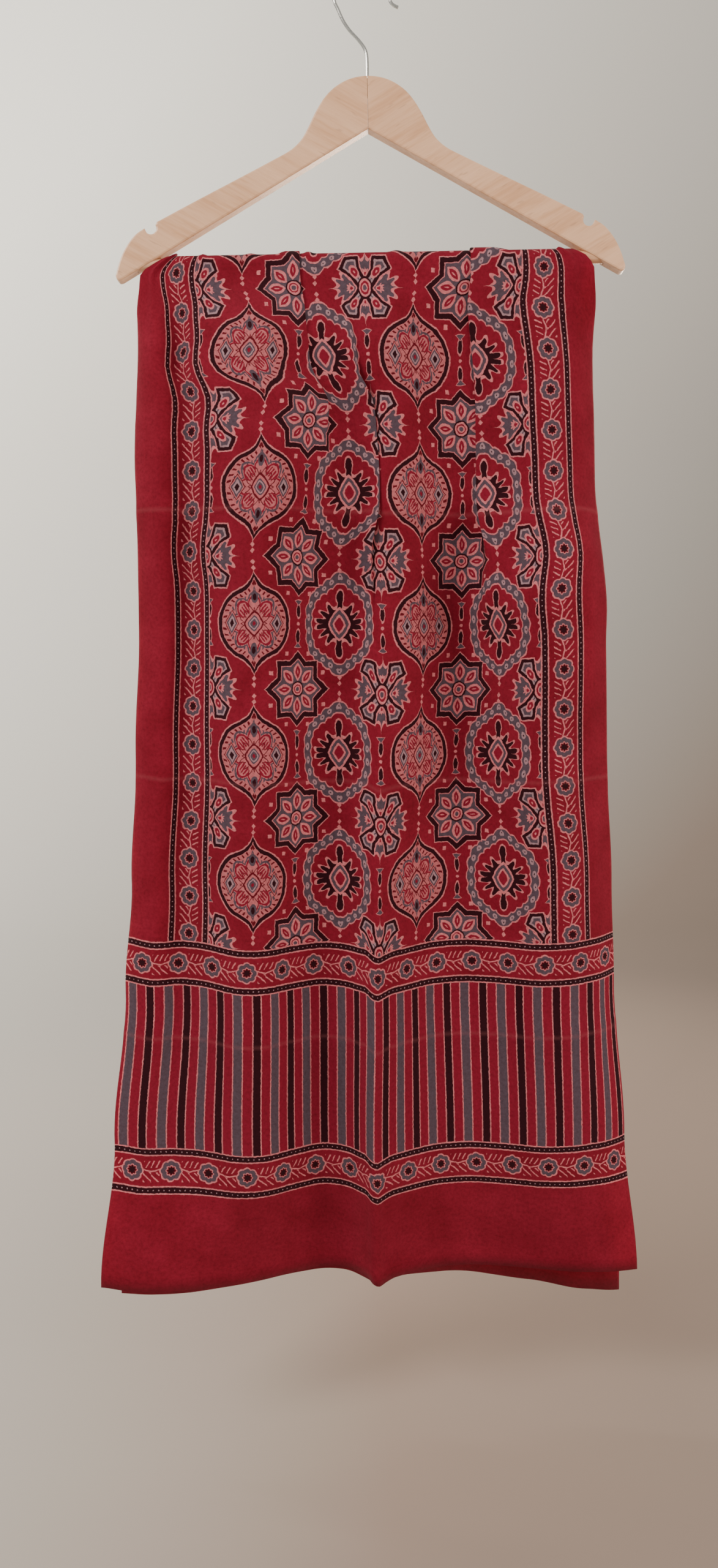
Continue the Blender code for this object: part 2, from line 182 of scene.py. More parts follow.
# Boards' underside, which the cloth stays under: height at the middle, fall per millimetre out
UNDERSIDE_TOP = -134.3
UNDERSIDE_SLOPE = 0.558
EDGE_CLEARANCE = 3.4
BUNCH_FROM = 110.0

# Places across the cloth from its left selvedge, and the cloth's lean in degrees at each of them
# for some drops below the bar. Plus comes forward going right. The second value in a row is
# where the cloth's middle hangs, left or right of the hook.
PLACES = (0, 22, 43, 60, 95, 123, 150, 178, 205, 230, 245, 253, 300, 330, 365, 400, 432, 465, 490, 508)
SECTIONS = (
    (0, -5, (0, 0, 0, 0, 0, 0, 0, 0, 0, 0, 0, 0, 0, 0, 0, 0, 0, 0, 0, 0)),
    (40, -5, (80, 35, -60, 50, 10, 0, -26, -26, 6, 36, 15, -8, -30, -20, 0, 25, 12, -20, -45, -60)),
    (185, 2, (52, 30, -50, 42, 15, 10, -40, -40, -20, 28, 24, -10, -40, -26, 16, 34, 16, -25, -45, -48)),
    (310, 5, (46, 28, -50, 45, 32, 5, -42, -48, -15, 40, 30, -14, -46, -34, 50, 48, 18, -25, -50, -50)),
    (430, 1, (46, 20, -50, 35, 34, -5, -44, -46, -5, 46, 36, -24, -46, -34, 38, 48, 8, -35, -50, -50)),
    (542, -2, (42, 20, -45, 25, 32, -5, -46, -32, 10, 46, 40, -38, -40, -18, 20, 32, 5, -36, -50, -50)),
    (640, -5, (30, 15, -30, 20, 28, -5, -42, -34, 15, 46, 44, -40, -36, -16, 12, 24, 5, -30, -50, -55)),
    (780, -8, (10, 8, -8, 8, 14, -5, -36, -32, 14, 48, 48, -36, -26, -10, 10, 16, 5, -14, -32, -40)),
    (905, -8, (10, 6, -2, -12, -22, -26, -28, -24, 6, 42, 48, -34, -20, -6, 6, 12, 16, 4, -8, -10)),
)

# Where the left and the right selvedge of the front hang, at each drop
SELVEDGES = (
    (0, -189, 186), (12, -197, 191), (42, -201, 195), (185, -206, 198), (310, -210, 204), (430, -215, 209),
    (542, -223, 215), (640, -232, 218), (780, -247, 225), (905, -259, 233),
)

# How much lower than level the front and the back come to hang, at places across the cloth
SAG_FULL_AT = 560.0
SAG = (
    (0, -9, -15), (30, -6, -14), (64, -5, -13), (128, 0, -11), (195, 1, -8), (238, 3, -6), (254, 10, -5),
    (272, 7, -4), (324, 6, 0), (410, 7, 7), (472, 5, 11), (508, 5, 13),
)

# Knife pleats: drop below the bar, middle of the turned-under part, its flat length, its turn.
# Minus lays the left part over the right.
PLEATS = (
    ((0, 180, 11, -180), (60, 181, 10, -180), (104, 186, 6, -165), (152, 190, 6, -60), (215, 195, 7, 0)),
    ((0, 239, 3, 0), (80, 241, 5, -60), (130, 242, 8, -180), (190, 244, 7, -180), (260, 244, 4, -70),
     (340, 245, 4, 0)),
    ((0, 374, 18, 180), (110, 374, 12, 180), (185, 371, 10, 180), (260, 368, 10, 70), (330, 366, 14, 20),
     (430, 366, 14, 0)),
)
SPANS_BETWEEN = (52, 12, 40, 38)
ROW_STEP = 9.5
FINE_ROWS_TO = 60.0
FINE_ROW_STEP = 5.0
WRAP_ROWS = 12

# Storage creases: broad bulges across the cloth, each with a sharp line along it
CREASE_SPACING = 234.0
CREASE_FIRST = 211.0
CREASE_HEIGHT = 1.6
CREASE_HALF_WIDTH = 26.0
CREASE_LINE_HEIGHT = 1.5
CREASE_LINE_HALF_WIDTH = 7.0
CENTRE_CREASE_HEIGHT = 1.6
CENTRE_CREASE_HALF_WIDTH = 6.0

# Short gathers just under the bar: place across, half-width, height, length down the cloth
GATHERS = ((27, 5, 2.2, 90), (52, 4, -1.4, 60), (84, 6, 1.2, 70), (131, 7, 1.0, 50), (206, 6, 1.6, 90),
           (228, 5, -1.2, 60), (281, 8, 1.3, 80), (318, 6, -1.2, 60), (352, 5, 1.2, 50), (411, 6, 1.3, 80),
           (446, 5, -1.2, 60), (478, 7, 1.6, 70))


def ease(amount):
    """Smooth step from 0 to 1."""
    t = np.clip(amount, 0.0, 1.0)
    return t * t * (3 - 2 * t)


def rows_at(drop, rows):
    """Each column of a table whose rows start with a drop, eased between its rows."""
    at = np.array([row[0] for row in rows], float)
    columns = np.array([row[1:] for row in rows], float)
    i = np.clip(np.searchsorted(at, drop, side="right") - 1, 0, len(at) - 2)
    part = ease((drop - at[i]) / (at[i + 1] - at[i]))[:, None]
    return columns[i] * (1 - part) + columns[i + 1] * part


def pleat_reach(flat):
    """How far from a pleat's middle the cloth still lies over or under the turned part."""
    return 1.5 * flat + FOLD_TURN + 1.0


def column_places(drop):
    """Where the grid's columns run on the cloth: they follow each pleat's two turns."""
    stops = [np.zeros((len(drop), 1))]
    for rows, spans in zip(PLEATS, SPANS_BETWEEN):
        middle, flat, _ = rows_at(drop, rows).T
        half = flat / 2
        away = [half / 2] + [half + FOLD_TURN * part for part in (0, 0.25, 0.5, 0.75, 1)]
        away = np.stack(away + [half + flat / 2 + FOLD_TURN, pleat_reach(flat)], axis=1)
        turns = middle[:, None] + np.hstack([-away[:, ::-1], away])
        share = np.linspace(0, 1, spans + 1)[None, 1:-1]
        stops.append(stops[-1][:, -1:] * (1 - share) + turns[:, :1] * share)
        stops.append(turns)
    share = np.linspace(0, 1, SPANS_BETWEEN[-1] + 1)[None, 1:]
    stops.append(stops[-1][:, -1:] * (1 - share) + CLOTH_WIDTH * share)
    return np.hstack(stops)


def lean_at(u, drop, table):
    """Lean of the cloth in radians at places u for each drop, held level through a pleat's layers."""
    level = np.repeat(u[None, :], len(drop), axis=0)
    for rows in PLEATS:
        middle, flat, turn = rows_at(drop, rows).T[:, :, None]
        away = u[None, :] - middle
        held = np.clip((np.abs(away) - pleat_reach(flat)) * 1.5, 0, np.abs(away)) * np.sign(away)
        level += (held - away) * ease(np.abs(turn) / 90)
    places = np.array(PLACES, float)
    i = np.clip(np.searchsorted(places, level, side="right") - 1, 0, len(places) - 2)
    part = ease((level - places[i]) / (places[i + 1] - places[i]))
    lean = np.take_along_axis(table, i, 1) * (1 - part) + np.take_along_axis(table, i + 1, 1) * part
    return np.radians(lean)


def cross_sections(drop):
    """Distance across and outward offset of the cloth at fine places u, a row for each drop.

    With a the cloth's lean and t a pleat's turn, the distance is the sum of cos a cos t, the
    soft waves' offset that of sin a cos t, and the pleats' layers that of cos a sin t."""
    u = np.arange(0.0, CLOTH_WIDTH + FINE_STEP / 2, FINE_STEP)
    table = rows_at(drop, [(row[0], row[1], *row[2]) for row in SECTIONS])
    lean = lean_at(u, drop, table[:, 1:])
    turned = np.zeros_like(lean)
    lift = np.zeros_like(lean)
    for rows in PLEATS:
        middle, flat, turn = rows_at(drop, rows).T[:, :, None]
        inside = np.clip(1 - (np.abs(u[None, :] - middle) - flat / 2) / FOLD_TURN, 0, 1)
        turned += np.radians(turn) * inside
        stack = FOLD_TURN * 4 / math.pi * ease(np.abs(turn) / 180)
        past = (u[None, :] - middle) * np.sign(turn) - pleat_reach(flat)
        fallen = ease(past / PLEAT_RELEASE)
        lift += stack * np.where(turn < 0, fallen - 1, fallen)
    across = np.cumsum(np.cos(lean) * np.cos(turned), axis=1) * FINE_STEP
    wave = np.cumsum(np.sin(lean) * np.cos(turned), axis=1) * FINE_STEP
    layer = np.cumsum(np.cos(lean) * np.sin(turned), axis=1) * FINE_STEP
    started = ease(drop / WAVES_START)[:, None]
    wave = (wave - wave.mean(axis=1, keepdims=True)) * started
    layer = layer - lift * (1 - started) - layer.mean(axis=1, keepdims=True) * started
    middle_now = across[:, u.searchsorted(CLOTH_WIDTH / 2)][:, None]
    return u, across - middle_now + table[:, :1], wave, layer


def nested(x, across, wave):
    """The waves' offset read at each x, so that the back hangs in the front's own waves."""
    rows = []
    for places, run, offsets in zip(x, across, wave):
        order = np.argsort(run)
        rows.append(np.interp(places, run[order], offsets[order]))
    return np.array(rows)


def bunched(x, edge):
    """The cloth beyond BUNCH_FROM drawn in or out, so that its selvedge comes to the given reach.

    With s the share of the way out, p the old reach over the new, or 1 if the cloth is drawn out,
    the new share is 1 - (1 - s) to the power p, so that the selvedge itself is drawn in most."""
    reach = np.where(x < 0, -x[:, :1], x[:, -1:]) - BUNCH_FROM
    share = np.clip((np.abs(x) - BUNCH_FROM) / reach, 0, 1)
    drawn = 1 - (1 - share) ** np.maximum(reach / (edge - BUNCH_FROM), 1)
    outer = np.sign(x) * (BUNCH_FROM + (edge - BUNCH_FROM) * drawn)
    return np.where(np.abs(x) > BUNCH_FROM, outer, x)


def small_relief(u, drop):
    """Offset of the storage creases and of the short gathers under the bar, in millimetres."""
    away = np.abs((drop - CREASE_FIRST + CREASE_SPACING / 2) % CREASE_SPACING - CREASE_SPACING / 2)
    relief = CREASE_HEIGHT * np.clip(1 - away / CREASE_HALF_WIDTH, 0, 1)
    relief = (relief + CREASE_LINE_HEIGHT * np.clip(1 - away / CREASE_LINE_HALF_WIDTH, 0, 1))[:, None]
    centre = np.clip(1 - np.abs(u - CLOTH_WIDTH / 2) / CENTRE_CREASE_HALF_WIDTH, 0, 1)
    relief = relief + CENTRE_CREASE_HEIGHT * centre * ease((drop - 240) / 80)[:, None]
    for place, half_width, height, length in GATHERS:
        ridge = ease(1 - np.abs(u - place) / half_width)
        fade = ease(1 - drop / length) * (1 if height > 0 else ease(drop / 12))
        relief = relief + height * ridge * fade[:, None]
    return relief


def drape():
    """Points of the draped sheet's middle, and its flat places u and v from the front hem."""
    fine = np.arange(0.0, FINE_ROWS_TO, FINE_ROW_STEP)
    rows_down = np.concatenate([fine, np.arange(FINE_ROWS_TO, FRONT_LENGTH - ROW_STEP / 2, ROW_STEP)])
    over = FRONT_LENGTH + math.pi * WRAP_RADIUS
    front = np.concatenate([[0.0], FRONT_LENGTH - rows_down[::-1]])
    wrap = FRONT_LENGTH + math.pi * WRAP_RADIUS * np.arange(1, WRAP_ROWS) / WRAP_ROWS
    back = over + np.concatenate([rows_down, [BACK_LENGTH]])
    along = np.concatenate([front, wrap, back])

    turn = np.clip((along - FRONT_LENGTH) / WRAP_RADIUS, 0.0, math.pi)
    drop = np.maximum(FRONT_LENGTH - along, 0.0) + np.maximum(along - over, 0.0)
    is_back = (along > FRONT_LENGTH + math.pi * WRAP_RADIUS / 2)[:, None]
    u, across, wave, layer = cross_sections(drop)
    columns = column_places(drop)

    def pick(values):
        return np.array([np.interp(places, u, row) for places, row in zip(columns, values)])

    gathered = 1 - np.where(is_back, BACK_GATHER, 0) * ease(drop / GATHER_START)[:, None]
    x = pick(across) * gathered
    outward = pick(layer) + np.where(is_back, -1, 1) * nested(x, across, wave)
    outward += PANELS_APART * ease(drop / WAVES_START)[:, None] + small_relief(columns, drop)
    y = -np.cos(turn)[:, None] * (WRAP_RADIUS + outward)
    front_sag, back_sag = rows_at(columns.ravel(), SAG).T.reshape(2, *columns.shape)
    sag = np.where(is_back, back_sag, front_sag) * ease(drop / SAG_FULL_AT)[:, None]
    z = BAR_Z - drop[:, None] - sag + np.sin(turn)[:, None] * (WRAP_RADIUS + outward)

    left, right = rows_at(drop, SELVEDGES).T[:, :, None]
    x = bunched(x, np.where(x < 0, -left, right) * gathered)
    room = (UNDERSIDE_TOP - EDGE_CLEARANCE - z) / UNDERSIDE_SLOPE
    x = bunched(x, np.minimum(room, np.where(x < 0, -x[:, :1], x[:, -1:])))
    flat_v = np.repeat(along[:, None], columns.shape[1], axis=1) * CLOTH_LENGTH / along[-1]
    return np.stack([x, y, z], axis=2), columns, flat_v


def grid_mesh(name, points, flat_u, flat_v):
    """A mesh of quads through a grid of points, whose UV map is the flat place in metres."""
    rows, columns = points.shape[:2]
    index = np.arange(rows * columns).reshape(rows, columns)
    quads = np.stack([index[:-1, :-1], index[:-1, 1:], index[1:, 1:], index[1:, :-1]], axis=2).reshape(-1, 4)
    data = bpy.data.meshes.new(name)
    data.vertices.add(rows * columns)
    data.vertices.foreach_set("co", (points * MM).astype(np.float32).ravel())
    data.loops.add(quads.size)
    data.loops.foreach_set("vertex_index", quads.ravel().astype(np.int32))
    data.polygons.add(len(quads))
    data.polygons.foreach_set("loop_start", (np.arange(len(quads)) * 4).astype(np.int32))
    data.update(calc_edges=True)
    flat = np.stack([flat_u.ravel(), flat_v.ravel()], axis=1)[quads.ravel()] * MM
    data.uv_layers.new(name="flat_place").data.foreach_set("uv", flat.astype(np.float32).ravel())
    data.validate()
    data.shade_smooth()
    return data


def add_piece(name, data, material):
    """Put a mesh in the scene as an object of the given name and material."""
    piece = bpy.data.objects.new(name, data)
    bpy.context.scene.collection.objects.link(piece)
    data.materials.append(material)
    return piece


# The print. The cloth lies in four zones: a plain selvedge, a vine border, the field of ogee
# motifs, and at each end two cross bands with stripes between them. Inks are madder red, the
# pale pink that resist paste leaves, indigo gone grey, and iron black. Widths from the edge:
SELVEDGE = 39.0
BORDER = 41.0
END_PLAIN = 82.0
END_STRIPES = 150.0
FIELD_START = END_PLAIN + BORDER + END_STRIPES + BORDER
REPEAT_ACROSS = 174.0
REPEAT_ALONG = 113.0
FIRST_ROW = 58.0
FIRST_MEDALLION = 123.5
FLOWER_PITCH = 33.8
STRIPE_PITCH = 34.0
STRIPE_START = 21.8
HEM = 11.0
# Painted shade over the turned-up hem, as a share of the deep red
HEM_PAINTED_SHADE = 0.2
CREASE_PALE_WIDTH = 3.0
CREASE_PALENESS = 0.12

# The carved lines wander a little with the cloth's own threads, the forms with the printer's hand
LINE_WANDER = 1.2
LINE_WANDERS = 420.0
FORM_WANDER = 3.0
FORM_WANDERS = 55.0

# Threads lie 0.3 mm apart in the real cloth; they are drawn three times as coarse, to show
THREAD_SPACING = 0.9
THREAD_HEIGHT = 0.2
LIGHT_THROUGH = 0.45
DYE_DEEP = "92182E"
DYE_FULL = "A6233C"
DYE_CLOUDS = 24.0
WEAR_SPECKS = 330.0
WEAR = ((0.3, (0.78, 0.74, 0.74, 1)), (0.5, (1, 1, 1, 1)), (0.7, (1.14, 1.24, 1.22, 1)))

INK = {
    "red": "A0203A",
    "deep": "781424",
    "pink": "EE9096",
    "fill": "DC8086",
    "grey": "6A5663",
    "pale": "C29AA3",
    "black": "3C0F1B",
}


class Amount:
    """A number that varies over a surface. Each operator on it adds one Math node."""

    def __init__(self, tree, socket):
        self.tree = tree
        self.socket = socket

    def math(self, operation, *others):
        values = [other.socket if isinstance(other, Amount) else other for other in others]
        return Amount(self.tree, add_node(self.tree, "Math", self.socket, *values, operation=operation))

    def wrap(self, period):
        """The distance to the nearest multiple of a period."""
        return self.math("PINGPONG", period / 2)

    def curve(self, points, wide=1.0, high=1.0):
        """Read from a table of (amount, result); the amount reaches wide and the result high."""
        read = add_node(self.tree, "FloatCurve", 1.0, (self * (1 / wide)).socket)
        line = read.node.mapping.curves[0]
        while len(line.points) < len(points):
            line.points.new(0.5, 0.5)
        for point, (amount, result) in zip(line.points, points):
            point.location = (amount / wide, result / high)
        read.node.mapping.update()
        return Amount(self.tree, read) * high

    def pick(self, yes, no):
        """One amount where this one is 1 and another where it is 0."""
        return (yes - no) * self + no

    def __add__(self, other):
        return self.math("ADD", other)

    def __sub__(self, other):
        return self.math("SUBTRACT", other)

    def __rsub__(self, other):
        return self.math("MULTIPLY_ADD", -1.0, other)

    def __mul__(self, other):
        return self.math("MULTIPLY", other)

    def __truediv__(self, other):
        return self.math("DIVIDE", other)

    def __pow__(self, other):
        return self.math("POWER", other)

    def __lt__(self, other):
        return self.math("LESS_THAN", other)

    def __gt__(self, other):
        return self.math("GREATER_THAN", other)

    def __abs__(self):
        return self.math("ABSOLUTE")

    __radd__ = __add__
    __rmul__ = __mul__


def rings(level, table, reach=1.0):
    """Inks by level: a table of (level where it starts, ink); None is bare cloth."""
    stops = [(start / reach, (0, 0, 0, 0) if ink is None else linear(INK[ink])) for start, ink in table]
    colour = add_node(level.tree, "ValToRGB", (level * (1 / reach)).socket)
    return with_stops(colour, stops, "CONSTANT")


def print_over(colour, inks, where):
    """The colour with rings of ink laid over it where the amount is 1."""
    cover = Amount(where.tree, inks.node.outputs["Alpha"]) * where
    return add_node(where.tree, "Mix", cover.socket, None, None, None, None, None, colour, inks,
                    output=2, data_type="RGBA")


def ink_over(colour, name, where):
    """The colour with one ink over it where the amount is 1."""
    return add_node(where.tree, "Mix", where.socket, None, None, None, None, None, colour,
                    linear(INK[name]), output=2, data_type="RGBA")


def size_of(x, y):
    """Length of the vector (x, y)."""
    return (x * x + y * y).math("SQRT")


def polar(x, y, wide, tall):
    """Radius and angle of a place in a motif of the given half sizes, the angle from 0 to 1."""
    x = x * (1 / wide)
    y = y * (1 / tall)
    return size_of(x, y), y.math("ARCTAN2", x) * (2 / math.pi)


# Vine border: two dotted black lines and between them round flowers on a slanting stem
LINE_INSET = 3.6
LINE_INKS = ((0, "black"), (2.35, "pink"), (3.6, None))
DOT_SPACING = 4.6
DOT_INKS = ((0, "pale"), (0.54, None))
FLOWER_ROOM = 9.6
FLOWER = ((0, "black"), (1.9, "deep"), (2.9, "pink"), (3.9, "grey"), (7.5, "pink"), (8.8, None))


def print_border(colour, w, run, soft_run, zone):
    """A vine border: w goes across its 41 mm, run along it."""
    line = abs(abs(w - BORDER / 2) - (BORDER / 2 - LINE_INSET))
    colour = print_over(colour, rings(line, LINE_INKS, 20.0), zone)
    dot = size_of(line, run.wrap(DOT_SPACING))
    colour = print_over(colour, rings(dot, DOT_INKS, 20.0), zone)
    x = w - BORDER / 2
    y = (soft_run / FLOWER_PITCH).math("FRACT") * FLOWER_PITCH - FLOWER_PITCH / 2
    lobes = abs((y.math("ARCTAN2", x) * 4.0).math("COSINE")) * 1.2
    gap = abs(y) > FLOWER_ROOM
    stem = abs(x + (abs(y) - 9.2) * 0.28 - 1.5) < 0.6
    left = ((y + x * 1.15).wrap(7.0) < 0.85) * (abs(x + 5.4) < 4.2)
    right = ((y - x * 0.55).wrap(4.9) < 0.62) * (abs(x - 5.8) < 3.0)
    strokes = stem.math("MAXIMUM", left).math("MAXIMUM", right) * gap * zone
    colour = ink_over(colour, "pink", strokes)
    return print_over(colour, rings(size_of(x, y) - lobes, FLOWER, 20.0), zone)


# Medallion: the angle against its outline, and its small forms from the rim to the centre
MEDALLION_WIDE = 33.3
MEDALLION_TALL = 40.8
MEDALLION_OUTLINE = ((0.0, 1.0), (0.06, 1.0), (0.24, 0.96), (0.36, 0.915), (0.5, 0.86), (0.66, 0.805),
                     (0.8, 0.81), (0.9, 0.87), (0.96, 0.955), (1.0, 1.06))
MEDALLION_RIM = ((0, "fill"), (0.895, "black"), (1.0, "pink"), (1.038, None))
MEDALLION_EYE = ((0, "black"), (0.36, "pale"), (0.66, "grey"), (0.9, "fill"), (1.05, "deep"), (1.2, None))
MEDALLION_DROP = ((0, "black"), (0.8, "grey"), (1.5, None))
MEDALLION_HEART = ((0, "red"), (0.1, "grey"), (0.26, "pale"), (0.42, "grey"), (0.54, "fill"), (0.8, "deep"),
                   (1.05, None))


def print_medallion(colour, x, y, zone):
    """An ogee filled with pink, ticks inside its rim, a flower, two eyes and a centre."""
    r, angle = polar(x, y, MEDALLION_WIDE, MEDALLION_TALL)
    size = r / angle.curve(MEDALLION_OUTLINE)
    colour = print_over(colour, rings(size, MEDALLION_RIM, 2.0), zone)
    inside = (size < 0.89) * zone
    ticks = (angle * 9.0 + size * 2.6).wrap(1.0) < 0.17
    colour = ink_over(colour, "deep", (abs(size - 0.82) < 0.05) * ticks * inside)
    dashes = ((angle * 7.5 - size * 3.4).wrap(1.0) < 0.17) * (abs(size - 0.685) < 0.05)
    colour = ink_over(colour, "grey", dashes * inside)
    lobes = abs((angle * (2 * math.pi)).math("COSINE")) * 0.16
    bloom = r - lobes
    colour = ink_over(colour, "red", (abs(bloom - 0.41) < 0.026) * inside)
    colour = ink_over(colour, "grey", (abs(bloom - 0.485) < 0.022) * inside)
    petal = (angle * 3.5 + 0.25).wrap(1.0) * 0.3
    colour = ink_over(colour, "deep", (abs(r + petal - 0.4) < 0.02) * inside)
    hatch = ((x - y * 0.8).wrap(3.0) < 0.8) * (abs(r - 0.38) < 0.1) * (abs(angle - 0.5) < 0.26) * inside
    colour = ink_over(colour, "red", hatch)
    eye = abs(x - 20.0) * 0.17 + y * 0.105
    colour = print_over(colour, rings(eye, MEDALLION_EYE, 4.0), zone)
    drop = size_of(x * 0.5, (y - 22.5) * 0.26)
    colour = print_over(colour, rings(drop, MEDALLION_DROP, 9.0), zone)
    centre = (x * (1 / 8.0)) ** 1.3 + (y * (1 / 11.0)) ** 1.3
    return print_over(colour, rings(centre, MEDALLION_HEART, 6.0), zone)


# Oval: a beaded ogee, a black sunburst in it with a club up and down, and a lozenge
OVAL_WIDE = 35.3
OVAL_TALL = 46.5
OVAL_OUTLINE = ((0.0, 0.985), (0.2, 1.0), (0.33, 0.995), (0.45, 0.965), (0.58, 0.915), (0.68, 0.895),
                (0.8, 0.915), (0.9, 0.945), (1.0, 1.015))
OVAL_BAND = ((0, None), (0.725, "pink"), (0.757, "grey"), (0.942, "pink"), (0.975, None))
OVAL_BEADS = 5.5
BEAD = ((0, "black"), (0.11, "pale"), (0.55, None))
FLAMES = ((0, "black"), (0.0005, "pink"), (0.075, None))
CLUB = ((0, "black"), (0.92, "pink"), (1.22, None))
SUNBURST = ((0.0, 0.41), (0.09, 0.61), (0.17, 0.35), (0.27, 0.54), (0.38, 0.32), (0.54, 0.46), (0.68, 0.3),
            (0.86, 0.28), (1.0, 0.3))
OVAL_HEART = ((0, "red"), (0.34, "pink"), (0.5, "grey"), (0.78, "pink"), (1.0, None))


def print_oval(colour, x, y, zone):
    """A beaded ogee round a black sunburst with club-shaped spears up and down."""
    r, angle = polar(x, y, OVAL_WIDE, OVAL_TALL)
    size = r / angle.curve(OVAL_OUTLINE)
    run = angle * OVAL_BEADS
    scallop = abs((run * math.pi).math("COSINE")) * 0.045
    colour = print_over(colour, rings(size - scallop, OVAL_BAND, 2.0), zone)
    bead = size_of((run + 0.5).wrap(1.0) * 2.0, (size - 0.88) * 11.0)
    colour = print_over(colour, rings(bead, BEAD, 9.0), zone * (size < 1.0))
    burst = r - angle.curve(SUNBURST)
    colour = print_over(colour, rings(burst, FLAMES, 2.0), zone * (size < 0.71))
    neck = (x * 0.45).math("MAXIMUM", abs(y - 15.0) * 0.14)
    club = size_of(x * 0.32, (y - 23.5) * 0.17).math("MINIMUM", neck)
    colour = print_over(colour, rings(club, CLUB, 9.0), zone)
    heart = (x * (1 / 10.3)) ** 1.25 + (y * (1 / 14.8)) ** 1.25
    return print_over(colour, rings(heart, OVAL_HEART, 9.0), zone)


# Star: a square and a square on its point laid together, eight petals and a small hub
STAR_REACH = 32.9
STAR = ((0, "grey"), (0.775, "pink"), (0.81, "black"), (0.985, "pink"), (1.035, None))
STAR_PETAL = ((0, "pink"), (0.1, "red"), (0.5, "pink"), (1.0, None))
STAR_HUB = ((0, "grey"), (0.05, "pink"), (0.09, "red"), (0.125, "pink"), (0.165, "black"), (0.205, None))


def print_star(colour, x, y, zone):
    """An eight-pointed star with eight petals round an octagon, and small squares about it."""
    wide = x * (1 / STAR_REACH)
    tall = y * (1 / STAR_REACH)
    square = (wide * (1 / 0.685)).math("MAXIMUM", tall * (1 / 0.715))
    star = square.math("MINIMUM", wide + tall * 1.03)
    colour = print_over(colour, rings(star, STAR, 9.0), zone)
    r, angle = polar(x, y, STAR_REACH, STAR_REACH)
    folded = angle.wrap(0.5) * (math.pi / 2)
    sideways = folded.math("SINE") * r
    outwards = folded.math("COSINE") * r
    petal = sideways * 7.2 + ((outwards - 0.46) * 4.2) ** 2.0
    colour = print_over(colour, rings(petal, STAR_PETAL, 9.0), zone)
    colour = print_over(colour, rings(r, STAR_HUB, 2.0), zone)
    near = (abs(x - 28.9)).math("MAXIMUM", abs(y - 14.0))
    high = (abs(x - 12.5)).math("MAXIMUM", abs(y - 30.5))
    return ink_over(colour, "pink", (near.math("MINIMUM", high) < 1.75) * zone)


# Quatrefoil: a petal leans out from its foot; half-widths along it, its pointed top, and for an
# angle in quarter turns from a spray's tip, how far its leaves reach
PETAL_LEAN = math.radians(57.0)
PETAL_SIDES = ((0.0, 5.0), (12.0, 5.0), (16.0, 5.6), (20.0, 7.4), (25.5, 9.6), (32.0, 10.5))
PETAL_TIP = 31.4
PETAL_SHOULDER = 0.62
PETAL = ((0, "grey"), (5.4, "pale"), (7.2, "black"), (10.0, "pink"), (11.2, None))
PETAL_DROP = ((0, "pink"), (0.2, "red"), (0.68, "pink"), (1.05, None))
SIDE_SPRAY = ((0.0, 21.0), (0.13, 13.5), (0.31, 18.5), (0.42, 12.0), (0.61, 16.5), (0.75, 9.0), (1.0, 7.0))
TOP_SPRAY = ((0.0, 21.5), (0.15, 12.5), (0.28, 16.0), (0.44, 9.0), (0.66, 6.0), (1.0, 5.0))
SPRAY = ((0, "red"), (0.14, "pink"), (0.3, "grey"), (0.82, "pink"), (1.02, None))
QUATREFOIL_HUB = ((0, "grey"), (0.22, "pink"), (0.36, "red"), (0.58, "pink"), (0.78, "black"), (1.0, None))


def print_spray(colour, out, side, leaves, zone):
    """A jagged lotus that opens along out."""
    turn = side.math("ARCTAN2", out) * (2 / math.pi)
    level = size_of(out, side) / turn.curve(leaves, high=25.0)
    return print_over(colour, rings(level, SPRAY, 9.0), zone)


def print_quatrefoil(colour, x, y, zone):
    """Four fan-shaped petals on the diagonals, with jagged lotus sprays between them."""
    colour = print_spray(colour, x - 11.0, y, SIDE_SPRAY, zone * (x > 8.0))
    colour = print_spray(colour, y - 11.5, x, TOP_SPRAY, zone * (y > 11.0))
    along = x * math.cos(PETAL_LEAN) + y * math.sin(PETAL_LEAN)
    across = abs(x * math.sin(PETAL_LEAN) - y * math.cos(PETAL_LEAN) - 0.5)
    sides = across - along.curve(PETAL_SIDES, 40.0, 12.0)
    top = (along + across * PETAL_SHOULDER - PETAL_TIP) * 0.85
    colour = print_over(colour, rings(sides.math("MAXIMUM", top) + 10.0, PETAL, 60.0), zone)
    drop = size_of(across * 0.3, (along - 16.5) * 0.17)
    colour = print_over(colour, rings(drop, PETAL_DROP, 9.0), zone)
    hub = size_of(x * (1 / 6.2), y * (1 / 9.5))
    return print_over(colour, rings(hub, QUATREFOIL_HUB, 9.0), zone)


# Chains: black drops with pale rims, and grey caps over them
CHAIN_DROP = ((0, "black"), (0.95, "pink"), (1.4, None))
CHAIN_CAP = ((0, "grey"), (0.72, "pink"), (1.05, None))


def print_chains(colour, x, y, far_x, far_y, zone):
    """Drops, caps and a dot between stars, and small lozenges between medallions."""
    drop = size_of(x * 0.56, (y - 11.2) * 0.19)
    colour = print_over(colour, rings(drop, CHAIN_DROP, 30.0), zone)
    cap = x * 0.24 + abs(y - 18.2 - x * 0.45) * 0.36
    colour = print_over(colour, rings(cap, CHAIN_CAP, 30.0), zone)
    dot = size_of(x, y) < 1.5
    lozenge = (far_x * 0.5 + abs(abs(far_y - 7.2) - 2.6) * 0.42) < 1.0
    return ink_over(colour, "pink", dot.math("MAXIMUM", lozenge) * zone)


# Stripes: one period, from the left edge of its black stripe
STRIPES = ((0, "black"), (6.4, "pink"), (7.5, "red"), (15.2, "pink"), (16.3, "grey"), (23.8, "pink"),
           (24.9, "red"), (32.9, "pink"))


